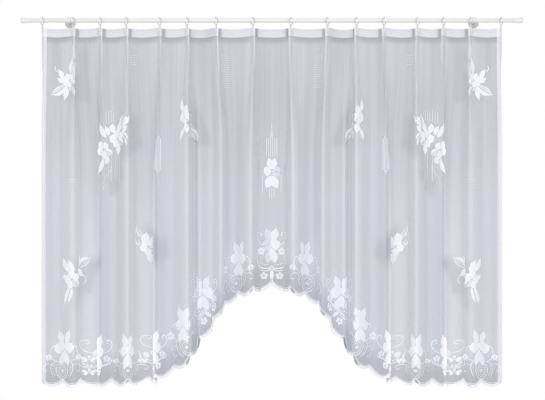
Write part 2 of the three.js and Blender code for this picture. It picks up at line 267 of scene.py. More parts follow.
bracket_white = lacquer("bracket_white", (0.66, 0.66, 0.66), 0.4)
screw_steel = Finish("screw_steel", (0.42, 0.42, 0.43), 0.38, 0.9)
screw_steel.bump(screw_steel.noise(screw_steel.place(), 1500.0), 0.00003)
for side_name, side in (("left", -1), ("right", 1)):
    low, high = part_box(f"wall_plate_{side_name}")
    plate_x, _, plate_z = middle_of(low, high)
    plate_centre = (plate_x, 0.0, plate_z)
    plate = turned_outward(f"rosette_{side_name}", [
        (0.0, 0.0), (0.0, plate_radius), (0.0012, plate_radius), (0.0016, plate_radius - 0.0004),
        (0.0020, plate_radius - 0.0016), (0.0030, plate_radius - 0.0026), (plate_thickness, 0.0170),
        (plate_thickness, 0.0090), (0.0036, 0.0084), (plate_thickness, 0.0078), (plate_thickness, 0.0),
    ], plate_centre)
    eased(plate, 0.0002)
    settle(plate, bracket_white, "brackets", f"wall_plate_{side_name}")
    collar = turned_piece(f"arm_{side_name}", [
        (-collar_half, collar_bore), (-collar_half, collar_radius - collar_round),
        (-collar_half + collar_round, collar_radius), (collar_half - collar_round, collar_radius),
        (collar_half, collar_radius - collar_round), (collar_half, collar_bore), (-collar_half, collar_bore),
    ], (plate_x, rod_centre[1], rod_centre[2]))
    bar_end = -rod_centre[1] - collar_bore - 0.0005
    bar = turned_outward(f"bar_{side_name}", [
        (plate_thickness + 0.0003, 0.0), (plate_thickness + 0.0003, 0.0068), (0.0070, 0.0066),
        (0.0095, 0.0057), (0.0120, arm_radius), (bar_end - 0.012, arm_radius), (bar_end, arm_radius),
        (bar_end, 0.0),
    ], plate_centre)
    joined(collar, bar)
    eased(collar, 0.0003)
    settle(collar, bracket_white, "brackets", f"bracket_arm_{side_name}")
    screw_low, screw_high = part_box(f"set_screw_{side_name}")
    bpy.ops.mesh.primitive_cylinder_add(
        vertices=32, radius=screw_radius, depth=screw_length,
        location=(plate_x, rod_centre[1], middle_of(screw_low, screw_high)[2]))
    screw = bpy.context.object
    screw.name = f"thumb_screw_{side_name}"
    bpy.ops.object.mode_set(mode="EDIT")
    bpy.ops.mesh.select_all(action="DESELECT")
    bpy.ops.object.mode_set(mode="OBJECT")
    for face in screw.data.polygons:
        face.select = face.normal.z < -0.9
    bpy.ops.object.mode_set(mode="EDIT")
    bpy.ops.mesh.select_mode(type="FACE")
    bpy.ops.mesh.inset(thickness=slot_rim, depth=0.0)
    bpy.ops.mesh.extrude_region_move(TRANSFORM_OT_translate={"value": (0, 0, slot_depth)})
    bpy.ops.object.mode_set(mode="OBJECT")
    bpy.ops.object.transform_apply(location=True, rotation=True, scale=True)
    eased(screw, 0.0003)
    settle(screw, screw_steel, "screws", f"set_screw_{side_name}")


# Rings: 3.5 mm wire bent round, butted and welded, then lacquered. Each hangs from the top of
# the rod, turned a little as its pleat turns it. The weld is a slight swelling at the back.

ring_radius = 0.0154
wire_radius = 0.00175
ring_turn = math.radians(30)
ring_white = lacquer("ring_white", (0.55, 0.55, 0.56), 0.3)
ring_count = 16
ring_room = 0.00045
ring_drop = ring_radius - wire_radius - ring_room - rod_radius
weld_swelling = 0.18
weld_reach = 0.09
ring_places = []
for number in range(1, ring_count + 1):
    low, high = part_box(f"ring_{number:02d}")
    ring_x = middle_of(low, high)[0]
    side = -1 if number <= ring_count // 2 else 1
    heading = math.radians(-90) - side * ring_turn
    ring_places.append((ring_x, heading))
    bpy.ops.mesh.primitive_torus_add(major_radius=ring_radius, minor_radius=wire_radius, major_segments=56,
                                     minor_segments=14, rotation=(math.radians(90), 0.0, heading),
                                     location=(ring_x, rod_centre[1], rod_centre[2] - ring_drop))
    ring = bpy.context.object
    ring.name = f"wire_ring_{number:02d}"
    for corner in ring.data.vertices:
        around = math.atan2(corner.co.y, corner.co.x)
        swelling = 1.0 + weld_swelling * math.exp(-((abs(around) - math.pi) / weld_reach) ** 2)
        flat = math.hypot(corner.co.x, corner.co.y)
        off = (flat - ring_radius) * swelling
        corner.co.x *= (ring_radius + off) / flat
        corner.co.y *= (ring_radius + off) / flat
        corner.co.z *= swelling
    bpy.ops.object.transform_apply(location=True, rotation=True, scale=True)
    bpy.ops.object.shade_smooth()
    settle(ring, ring_white, "rings", f"ring_{number:02d}")


# Clips: one strip of springy white plastic bent to an eye round the ring's wire and two jaws
# that nip the head of a pleat. Their feet are flared so that the cloth slips in.

clip_depth = 0.008
clip_strip = 0.0011
clip_eye = 0.0031
clip_foot = -0.046
clip_shoulder = -0.029
eye_height = -0.0206


def clip_path(jaw):
    """The strip's middle line across and up, from one foot round the eye to the other foot."""
    half = jaw + clip_strip / 2
    left = [(-half - 0.0010, clip_foot), (-half - 0.0003, clip_foot + 0.0025), (-half, clip_foot + 0.005),
            (-half, clip_shoulder), (-half * 0.82, clip_shoulder + 0.0020),
            (-half * 0.45, clip_shoulder + 0.0036)]
    turn = [math.radians(-128 - 284 * step / 22) for step in range(23)]
    eye = [(clip_eye * math.cos(angle), eye_height + clip_eye * math.sin(angle)) for angle in turn]
    right = [(-across, height) for across, height in reversed(left)]
    return left + eye + right


def bent_strip(name, path, place):
    """A strip of even thickness along a path that stands upright, with its width along the pleat."""
    ring_x, heading = place
    line = np.array(path)
    step = np.gradient(line, axis=0)
    step /= np.linalg.norm(step, axis=1)[:, None]
    normal = np.stack([-step[:, 1], step[:, 0]], axis=1) * clip_strip / 2
    along = np.array([math.cos(heading), math.sin(heading)])
    across = np.array([-math.sin(heading), math.cos(heading)])
    corners = []
    for flank, depth in ((1, -1), (1, 1), (-1, 1), (-1, -1)):
        for point in line + flank * normal:
            flat = along * depth * clip_depth / 2 + across * point[0]
            corners.append((ring_x + flat[0], rod_centre[1] + flat[1], rod_centre[2] + point[1]))
    count = len(line)
    faces = []
    for index in range(count - 1):
        for edge in range(4):
            one, two = edge * count + index, (edge + 1) % 4 * count + index
            faces.append((one, two, two + 1, one + 1))
    faces.append(tuple(edge * count for edge in (3, 2, 1, 0)))
    faces.append(tuple(edge * count + count - 1 for edge in range(4)))
    piece = new_object(name, corners, [], faces)
    bpy.ops.object.mode_set(mode="EDIT")
    bpy.ops.mesh.select_all(action="SELECT")
    bpy.ops.mesh.normals_make_consistent(inside=False)
    bpy.ops.object.mode_set(mode="OBJECT")
    return piece


clip_white = lacquer("clip_white", (0.86, 0.86, 0.87), 0.32)
pleat_jaw = 0.0031
side_jaw = 0.00155
for number, place in enumerate(ring_places, 1):
    jaw = side_jaw if number in (1, ring_count) else pleat_jaw
    clip = bent_strip(f"pleat_clip_{number:02d}", clip_path(jaw), place)
    eased(clip, 0.00025)
    settle(clip, clip_white, "clips", f"clip_{number:02d}")


# Net: one cut length of fine warp-knitted net about 3 m wide, with turned side hems. Its head
# is pinched into a pleat at each clip, and below that it hangs in loose, uneven folds.

SIDE_X = -966.0
TOP_EDGE = -30.0
TOP_SAG = 6.0
PLEAT_FRONT = 18.0
PLEAT_REAR = 16.0
PLEAT_HALF = 2.2
END_PLEAT_FRONT = 6.0
END_PLEAT_REAR = 7.0
END_PLEAT_SHIFT = 0.65
PINCH_LENGTH = 42.0
PLEAT_TURN = math.radians(30)

# Rings of the left half: place on the rod, cloth per millimetre up to the next ring, and how
# far below the top edge the pleat has opened.
RINGS = [
    (-963.5, 1.02, 420.0), (-834.9, 1.02, 560.0), (-721.6, 1.02, 640.0), (-612.4, 1.03, 520.0),
    (-471.7, 1.02, 700.0), (-356.2, 1.28, 560.0), (-234.4, 1.03, 480.0), (-80.2, 1.02, 620.0),
]

# Loose folds low in the left half: ring that the fold falls from or -1, then crest, foot of the
# wall and start of the next rise, each as x and distance behind the rod's axis.
FOLDS = [
    (-1, -959, -10, -919, 26, -898, 28), (1, -831, -30, -789, 22, -717, 24),
    (2, -734, -24, -680, 24, -659, 26), (3, -604, -34, -566, 28, -482, 26),
    (4, -499, -34, -440, 26, -419, 28), (5, -352, -30, -329, 24, -322, 20),
    (-1, -306, -8, -276, 14, -254, 20), (6, -213, -36, -176, 38, -155, 38),
    (7, -87, -38, -54, 24, -24, 26),
]
EDGE_Y = -6.0
MIDDLE_Y = 27.0

# The hem's arch: distance along the flat cloth from the middle line, and height. It is rounded,
# and its scallops are cut a little shallower on the steep flanks.
HEM_ARCH = [(0, -1108), (200, -1142), (345, -1206), (400, -1262), (450, -1342), (500, -1384), (600, -1447),
            (700, -1488), (780, -1508), (1000, -1517), (1600, -1518)]
NET_THICKNESS = 0.8
SCALLOPS_PER_HALF = 15
SCALLOP_DEPTH = 23.0
FLANK_CUT = 14.0
ARCH_ROUNDING = 30
PANEL_STEPS = 16
FOLD_STEPS = 24


def pleat_point(ring_x, along, across):
    """A place in a pleat's head, which is turned a little with its ring."""
    return [ring_x + along * math.sin(PLEAT_TURN) + across * math.cos(PLEAT_TURN),
            -along * math.cos(PLEAT_TURN) + across * math.sin(PLEAT_TURN), TOP_EDGE]


def panel_points(start, end, fullness):
    """The shallow bow and sag of the cloth between two pleats."""
    share = np.arange(1, PANEL_STEPS)[:, None] / PANEL_STEPS
    hump = 4 * share * (1 - share)
    points = np.array(start) + (np.array(end) - np.array(start)) * share
    points[:, 1:2] += (end[0] - start[0]) * math.sqrt(0.375 * (fullness - 1)) * hump
    points[:, 2:3] = TOP_EDGE - TOP_SAG * hump
    return points.tolist()


def run_length(points):
    """Distance of each point of a line from its first one, along the line."""
    return np.concatenate([[0.0], np.cumsum(np.linalg.norm(np.diff(points, axis=0), axis=1))])


def distance_along(points):
    """Distance along a section from its side to the middle line, which is 0."""
    length = run_length(points[:, :2])
    return length - length[-1]


def top_section():
    """The left half's section along the top edge, and the flat place of each pleat's tip."""
    points = [pleat_point(RINGS[0][0], END_PLEAT_FRONT, END_PLEAT_SHIFT),
              pleat_point(RINGS[0][0], -END_PLEAT_REAR, END_PLEAT_SHIFT)]
    tips = {}
    for ring in range(1, len(RINGS)):
        ring_x = RINGS[ring][0]
        rear = pleat_point(ring_x, -PLEAT_REAR, -PLEAT_HALF)
        points += panel_points(points[-1], rear, RINGS[ring - 1][1]) + [rear]
        points += [pleat_point(ring_x, along, across) for along, across in (
            (0, -PLEAT_HALF), (PLEAT_FRONT - PLEAT_HALF, -PLEAT_HALF), (PLEAT_FRONT, 0),
            (PLEAT_FRONT - PLEAT_HALF, PLEAT_HALF), (0, PLEAT_HALF), (-PLEAT_REAR, PLEAT_HALF))]
        tips[ring] = len(points) - 4
    middle = panel_points(points[-1], [-points[-1][0], *points[-1][1:]], RINGS[-1][1])
    points += middle[:PANEL_STEPS // 2]
    points = np.array(points)
    flat = distance_along(points)
    return points, flat, {ring: flat[index] for ring, index in tips.items()}


def between(t, start, first, end, second):
    """The value at t on the line from first at start to second at end."""
    return ((end - t) * first + (t - start) * second) / (end - start)


def smooth_curve(knots, steps):
    """A centripetal Catmull-Rom curve through knots, with the end knots reflected beyond the ends."""
    knots = np.array(knots, float)
    padded = np.vstack([2 * knots[0] - knots[1], knots, 2 * knots[-1] - knots[-2]])
    out = []
    for p0, p1, p2, p3 in zip(padded, padded[1:], padded[2:], padded[3:]):
        t1 = np.linalg.norm(p1 - p0) ** 0.5
        t2 = t1 + np.linalg.norm(p2 - p1) ** 0.5
        t3 = t2 + np.linalg.norm(p3 - p2) ** 0.5
        t = np.linspace(t1, t2, steps, endpoint=False)[:, None]
        a1 = between(t, 0.0, p0, t1, p1)
        a2 = between(t, t1, p1, t2, p2)
        a3 = between(t, t2, p2, t3, p3)
        b1 = between(t, 0.0, a1, t2, a2)
        b2 = between(t, t1, a2, t3, a3)
        out.append(between(t, t1, b1, t2, b2))
    return np.vstack([*out, knots[-1]])


def low_section(side_flat, tips):
    """The left half's section low down, where each pleat's cloth has opened into a loose fold."""
    knots = [(SIDE_X, EDGE_Y)]
    anchors = [(0, side_flat)]
    for pleat, crest_x, crest_y, foot_x, foot_y, back_x, back_y in FOLDS:
        if pleat > 0:
            anchors.append((len(knots) * FOLD_STEPS, tips[pleat]))
        knots += [(crest_x, crest_y), (foot_x, foot_y), (back_x, back_y)]
    anchors.append((len(knots) * FOLD_STEPS, 0.0))
    knots.append((0.0, MIDDLE_Y))
    points = smooth_curve(knots, FOLD_STEPS)
    places = distance_along(points)
    indices, flats = zip(*anchors)
    return points, np.interp(places, places[list(indices)], flats)


def bell(reach):
    """Weights that round a row of values over this reach."""
    weights = np.exp(-0.5 * (np.arange(-3 * reach, 3 * reach + 1) / reach) ** 2)
    return weights / weights.sum()


def softened(flat, values, reach, mirror=1):
    """Values on an even grid along the cloth, rounded; past the middle they repeat or change sign."""
    grid = np.linspace(-HALF_WIDTH, 0.0, int(HALF_WIDTH) + 1)
    even = np.interp(grid, flat, values)
    before = 2 * even[0] - even[3 * reach:0:-1]
    after = mirror * even[-2:-2 - 3 * reach:-1]
    return grid, np.convolve(np.concatenate([before, even, after]), bell(reach), "valid")


top_points, top_flat, tip_flat = top_section()
HALF_WIDTH = -top_flat[0]
low_points, low_flat = low_section(top_flat[0], tip_flat)
GRID, TOP_X = softened(top_flat, top_points[:, 0], 1, -1)
TOP_Y = softened(top_flat, top_points[:, 1], 1)[1]
TOP_Z = softened(top_flat, top_points[:, 2], 12)[1]
LOW_X = softened(low_flat, low_points[:, 0], 5, -1)[1]
LOW_Y = softened(low_flat, low_points[:, 1], 5)[1]
FLARE = np.interp(GRID, [-HALF_WIDTH, *tip_flat.values(), 0.0], [ring[2] for ring in RINGS] + [RINGS[-1][2]])
CREST_FLATS = [low_flat[(1 + 3 * index) * FOLD_STEPS] for index in range(len(FOLDS))]

# The two folds whose crests shade the cloth and woven figures behind them; painted light lifts that shade.
SHADING_CRESTS = [CREST_FLATS[fold] for fold in (2, 4)]


def smoothstep(value, start, end):
    share = np.clip((value - start) / (end - start), 0.0, 1.0)
    return share * share * (3 - 2 * share)


def draped(flat, drop):
    """Points of the cloth's middle surface, from the distance across the flat cloth and the drop."""
    side = -np.abs(flat)
    opened = smoothstep(drop, PINCH_LENGTH, np.interp(side, GRID, FLARE))
    rows = (TOP_X, TOP_Y, TOP_Z, LOW_X, LOW_Y)
    top_x, top_y, top_z, low_x, low_y = (np.interp(side, GRID, row) for row in rows)
    x = top_x + (low_x - top_x) * opened
    y = top_y + (low_y - top_y) * opened
    return np.stack([np.where(flat > 0, -x, x), y, top_z - drop], axis=-1)


def draped_normal(flat, drop):
    """Unit normals of the cloth towards the wall."""
    across = draped(flat + 0.8, drop) - draped(flat - 0.8, drop)
    down = draped(flat, drop + 4.0) - draped(flat, drop - 4.0)
    normal = np.cross(-down, across)
    return normal / np.linalg.norm(normal, axis=-1, keepdims=True)


def in_frame(points):
    """Millimetres from the rod's axis to metres in the frame."""
    return points / 1000.0 + np.array([0.0, rod_centre[1], rod_centre[2]])


ARCH_GRID = np.arange(0.0, 1601.0)
arch_straight = np.interp(ARCH_GRID, *zip(*HEM_ARCH))
arch_reach = 3 * ARCH_ROUNDING
arch_padded = np.concatenate([arch_straight[arch_reach:0:-1], arch_straight,
                              np.full(arch_reach, arch_straight[-1])])
ARCH_Z = np.convolve(arch_padded, bell(ARCH_ROUNDING), "valid")
ARCH_FALL = np.gradient(ARCH_Z)
ARCH_LENGTH = np.concatenate([[0.0], np.cumsum(np.hypot(1.0, np.diff(ARCH_Z)))])
EDGE_LENGTH = np.interp(HALF_WIDTH, ARCH_GRID, ARCH_LENGTH)
PITCH = EDGE_LENGTH / SCALLOPS_PER_HALF


def arch_height(flat):
    return np.interp(np.abs(flat), ARCH_GRID, ARCH_Z)


def scallop_depth(along):
    """How far the cloth reaches past the arch, square to it, at a distance along it."""
    share = np.abs(along) / PITCH % 1.0
    fall = np.interp(np.interp(np.abs(along), ARCH_LENGTH, ARCH_GRID), ARCH_GRID, ARCH_FALL)
    return SCALLOP_DEPTH * 4 * share * (1 - share) - FLANK_CUT * fall ** 2 / (1 + fall ** 2)


edge_along = np.arange(0.0, ARCH_LENGTH[-1], 2.0)
edge_place = np.interp(edge_along, ARCH_LENGTH, ARCH_GRID)
edge_fall = np.interp(edge_place, ARCH_GRID, ARCH_FALL)
edge_depth = scallop_depth(edge_along) / np.sqrt(1 + edge_fall ** 2)
EDGE_FLAT = np.maximum.accumulate(edge_place + edge_depth * edge_fall)
EDGE_Z = arch_height(edge_place) - edge_depth


def hem_height(flat):
    return np.interp(np.abs(flat), EDGE_FLAT, EDGE_Z)


def top_height(flat):
    return np.interp(-np.abs(flat), GRID, TOP_Z)


def cloth_piece(name, corners, faces, flat, sharp):
    """A piece with UVs in metres of the flat cloth, shaded smooth but for its sharp edges."""
    piece = new_object(name, corners.tolist(), [], faces)
    loops = np.zeros(len(piece.data.loops), dtype=int)
    piece.data.loops.foreach_get("vertex_index", loops)
    layer = piece.data.uv_layers.new(name="flat")
    layer.data.foreach_set("uv", (flat[loops] / 1000.0).ravel())
    bpy.ops.object.shade_smooth_by_angle(angle=math.radians(sharp))
    return piece


def closed_sheet(name, flat, drop, thickness, centre=0.0):
    """A closed sheet over a grid of flat places; centre is how far it lies behind the net's middle."""
    points = draped(flat, drop)
    normal = draped_normal(flat, drop)
    front = in_frame(points + normal * (centre - thickness / 2))
    back = in_frame(points + normal * (centre + thickness / 2))
    rows, columns = flat.shape
    size = rows * columns
    index = np.arange(size).reshape(rows, columns)
    a, b = index[:-1, :-1].ravel(), index[:-1, 1:].ravel()
    c, d = index[1:, 1:].ravel(), index[1:, :-1].ravel()
    faces = [np.stack([a, d, c, b], axis=1), np.stack([a, b, c, d], axis=1) + size]
    rim = np.concatenate([index[0, :], index[1:, -1], index[-1, -2::-1], index[-2:0:-1, 0]])
    after = np.roll(rim, -1)
    faces.append(np.stack([rim, after, after + size, rim + size], axis=1))
    corners = np.concatenate([front.reshape(-1, 3), back.reshape(-1, 3)])
    flat_place = np.stack([flat.ravel(), -drop.ravel()], axis=1)
    return cloth_piece(name, corners, np.concatenate(faces).tolist(), np.tile(flat_place, (2, 1)), 60)


def column_places():
    """Columns across the cloth: even, with extra ones at the pleats, the folds and the hem's cusps."""
    places = list(np.linspace(-HALF_WIDTH, 0.0, 205))
    for tip in tip_flat.values():
        for away in (0.0, 1.6, 3.2, 5.0, 30.5, 33.5, 35.5, 37.5, 40.5):
            places += [tip - away, tip + away]
    for crest in CREST_FLATS:
        places += [crest - 3.0, crest - 1.0, crest + 1.0, crest + 3.0]
    for number in range(1, SCALLOPS_PER_HALF):
        cusp = -np.interp(number * PITCH, ARCH_LENGTH, ARCH_GRID)
        places += [cusp - 2.5, cusp, cusp + 2.5]
    places = np.unique(np.round(places, 1))
    kept = places[np.concatenate([[True], np.diff(places) > 1.2])]
    kept[-1] = 0.0
    return np.concatenate([kept, -kept[-2::-1]])


columns = column_places()
down_shares = np.concatenate([[0.0, 0.012, 0.026], np.linspace(0.04, 1.0, 62)])
flat_grid = np.broadcast_to(columns, (len(down_shares), len(columns)))
drop_grid = down_shares[:, None] * (top_height(columns) - hem_height(columns))[None, :]
net = closed_sheet("net", flat_grid, drop_grid, NET_THICKNESS)


def add_attribute(piece, name, values):
    """One number at each corner of a piece: those of a sheet are the same on its two faces."""
    layer = piece.data.attributes.new(name, "FLOAT", "POINT")
    layer.data.foreach_set("value", np.resize(values, len(piece.data.vertices)))


def near(flat, places, to_side, to_middle):
    """1 at each of the flat places, fading to either side of it."""
    side = -np.abs(flat)
    nearness = np.zeros(flat.shape)
    for place in places:
        away = side - place
        nearness = np.maximum(nearness, np.exp(-(away / np.where(away < 0, to_side, to_middle)) ** 2))
    return nearness


def layers_behind(flat, drop):
    """How many more layers of the folded cloth lie at the same place from side to side."""
    side, width, spacing = -980.0, 2.0, 20.0
    edges = np.arange(side, 30.0, width)
    levels = np.arange(0.0, 1521.0, spacing)
    counts = []
    for level in levels:
        x = draped(GRID, np.full(GRID.shape, level))[:, 0]
        cloth = np.histogram((x[1:] + x[:-1]) / 2, bins=edges, weights=np.abs(np.diff(x)))[0]
        counts.append(np.convolve(cloth / width, (0.1, 0.2, 0.4, 0.2, 0.1), "same"))
    x = -np.abs(draped(flat, drop)[..., 0])
    row = np.clip(np.rint(drop / spacing).astype(int), 0, len(levels) - 1)
    column = np.clip(((x - side) / width).astype(int), 0, len(edges) - 2)
    return np.clip(np.array(counts)[row, column] - 1.0, 0.0, 2.0)


def panel_share(flat):
    """How far across its panel the cloth is, from 0 beside one pleat to 1 at the next."""
    edges = np.array([-HALF_WIDTH - 40, *CREST_FLATS[1:6], *CREST_FLATS[7:], 320.0])
    side = -np.abs(flat)
    index = np.clip(np.searchsorted(edges, side) - 1, 0, len(edges) - 2)
    return (side - edges[index]) / (edges[index + 1] - edges[index])


net_points = draped(flat_grid, drop_grid)
open_grid = smoothstep(drop_grid, 60.0, 700.0)
add_attribute(net, "above_hem", (net_points[..., 2] - arch_height(flat_grid)) / 1000.0)
# Painted highlight down the crest of each loose fold, once its pleat has opened.
add_attribute(net, "crest", near(flat_grid, CREST_FLATS, 18.0, 12.0) * open_grid)
# Painted highlight on each pleat's head, fading out lower down.
add_attribute(net, "pleat", near(flat_grid, tip_flat.values(), 26.0, 30.0)
              * (1.0 - smoothstep(drop_grid, 30.0, 330.0)))
# Lighter where folds lie over one another: partly the extra cloth, partly painted light for what those layers
# scatter.
add_attribute(net, "layers", layers_behind(flat_grid, drop_grid))
# Painted light lifting the shade that two fold crests cast on the cloth behind them.
add_attribute(net, "edge", near(flat_grid, SHADING_CRESTS, 115.0, 14.0) * smoothstep(drop_grid, 450.0, 1000.0))
# Painted shading across each panel between pleats: darker beside one pleat, lighter towards the next, as the
# leaning panel turns to the light.
add_attribute(net, "panel", panel_share(flat_grid))
# Painted shadow in the heading just past each pleat, where the cloth runs in behind the pleat's tip.
add_attribute(net, "pleat_shadow", near(flat_grid, [tip + 58.0 for tip in tip_flat.values()], 5.5, 6.0))
# Painted light on cloth that turns sideways to the lamp, where it would fall darker.
add_attribute(net, "turned", np.abs(draped_normal(flat_grid, drop_grid)[..., 0]))


def attribute(finish, name):
    return finish.node("ShaderNodeAttribute", {"attribute_name": name}, {}, 2)


def ramp(value, start, end):
    """0 at start, 1 at end, smooth between."""
    return value.finish.node("ShaderNodeMapRange", {"interpolation_type": "SMOOTHSTEP"},
                             {0: value, 1: start, 2: end})


def axis(place, number):
    """One of a place's three numbers."""
    return place.finish.node("ShaderNodeSeparateXYZ", {}, {0: place}, number)


def wave(value, pitch):
    return (value * (math.tau / pitch)).reckon("SINE")


mesh_pitch = 0.0016
net_finish = Finish("net_cloth", (0.5, 0.5, 0.5), 0.9)
net_uv = net_finish.place("UV")
net_across, net_down = axis(net_uv, 0), axis(net_uv, 1)
net_finish.bump(wave(net_across, mesh_pitch) * 0.5 + wave(net_down, mesh_pitch) * 0.5, 0.0001)
broad = net_finish.node("ShaderNodeMapping", {}, {0: net_uv, 3: (28.0, 0.5, 1.0)})
fine = net_finish.node("ShaderNodeMapping", {}, {0: net_uv, 3: (170.0, 1.1, 1.0)})
streaks = net_finish.noise(broad, 1.0) * 0.55 + net_finish.noise(fine, 1.0) * 0.45
above_hem, panel, crest, layers, sideways_light, edge, shade, pleat, pleat_shadow = (
    attribute(net_finish, name) for name in
    ("above_hem", "panel", "crest", "layers", "turned", "edge", "shade", "pleat", "pleat_shadow"))
from_side = HALF_WIDTH / 1000 - net_across.reckon("ABSOLUTE") + ramp(net_down, -0.05, -0.5) * 0.013
in_hem = ramp(from_side, 0.0345, 0.0335)
in_heading = ramp(net_down, -0.0352, -0.0342)
below_heading = ramp(net_down, -0.075, -0.034) * (1.0 - in_heading) * (1.0 - pleat) * (1.0 - in_hem)
near_hem = ramp(above_hem, 0.15, 0.0) * (0.8 - 0.3 * layers)

# Open ground from the broadest tone to the narrowest: how far each replaces the one before, and
# its colour. After the streaky base come: lighter lower down; painted light across each panel; a
# painted highlight on the fold crests; partly painted light where folds lie over one another;
# painted light where the cloth turns sideways; darker near the hem; painted light in the shade
# behind two crests; painted shade. The last three are the painted shadow under the heading, a
# painted highlight on the pleats and the side hems.
tone = net_finish.blend(ramp(streaks, 0.37, 0.63), (0.398, 0.398, 0.462), (0.485, 0.486, 0.565))
for share, color in (
        (ramp(net_down, -0.25, -0.75) * 0.58, (0.595, 0.63, 0.705)),
        (panel * 0.3, (0.70, 0.70, 0.76)),
        (crest * 0.08, (0.82, 0.82, 0.88)),
        (layers * 0.27, (0.80, 0.80, 0.86)),
        (ramp(sideways_light, 0.84, 0.98) * 0.24, (0.82, 0.82, 0.89)),
        (near_hem, (0.285, 0.32, 0.385)),
        (edge * (1.0 - 0.75 * near_hem) * 0.7, (0.88, 0.88, 0.93)),
        (shade * 0.34, (0.26, 0.26, 0.31)),
        (below_heading * 0.85, (0.22, 0.22, 0.27)),
        (pleat * 0.8, (0.92, 0.92, 0.97)),
        (in_hem * 0.9, (0.80, 0.80, 0.84))):
    tone = net_finish.blend(share, tone, color)
heading_tone = net_finish.blend(ramp(net_down, -0.0185, -0.0165), (0.80, 0.80, 0.86), (0.77, 0.77, 0.83))
# Painted highlight on the pleats' heads within the heading.
heading_tone = net_finish.blend(pleat * 0.8, heading_tone, (0.97, 0.97, 1.0))
# Painted shadow beside each pleat in the heading.
heading_tone = net_finish.blend(pleat_shadow * 0.85, heading_tone, (0.30, 0.30, 0.35))
net_finish.feed("Base Color", net_finish.blend(in_heading, tone, heading_tone))
net_finish.feed("Alpha", 0.50 + 0.30 * in_heading + 0.22 * in_hem)


# Heading tape: a 32 mm woven tape sewn across the back of the net's head in four rows. It
# follows every pleat and makes the head stiffer and whiter.

TAPE_TOP = 1.5
TAPE_WIDTH = 32.0
TAPE_THICKNESS = 0.8
TAPE_BEHIND_NET = 1.2
tape_columns = columns[np.abs(columns) < HALF_WIDTH - 1.0]
tape_flat = np.broadcast_to(tape_columns, (6, len(tape_columns)))
tape_drop = np.broadcast_to(np.linspace(TAPE_TOP, TAPE_TOP + TAPE_WIDTH, 6)[:, None], tape_flat.shape)
tape = closed_sheet("tape", tape_flat, tape_drop, TAPE_THICKNESS, TAPE_BEHIND_NET)
tape_finish = Finish("tape_cloth", (0.80, 0.80, 0.84), 0.85)
tape_uv = tape_finish.place("UV")
tape_across, tape_down = axis(tape_uv, 0), axis(tape_uv, 1) + TAPE_TOP / 1000
twill_pitch = 0.0018
stitch_pitch = 0.0034
tape_finish.bump(wave(tape_across + tape_down, twill_pitch), 0.00012)
seam = 0.0
for row_down in (0.003, 0.011, 0.021, 0.029):
    seam = seam + ramp((tape_down + row_down).reckon("ABSOLUTE"), 0.0009, 0.0004)
stitched = seam * ramp(wave(tape_across, stitch_pitch), -0.3, 0.1)
tape_tone = tape_finish.blend(tape_finish.noise(tape_uv, 90.0), (0.77, 0.77, 0.82), (0.84, 0.84, 0.88))
tape_finish.feed("Base Color", tape_finish.blend(stitched * 0.6, tape_tone, (0.52, 0.52, 0.57)))
settle(tape, tape_finish, "tape", "heading_tape")


# Woven figures: the border and the sprays are part of the net's own jacquard weave, where denser
# white yarn fills the mesh. Each is drawn flat, and then hung with the cloth.

def direction(angle):
    """A step of one millimetre at an angle in degrees."""
    return np.array([math.cos(math.radians(angle)), math.sin(math.radians(angle))])


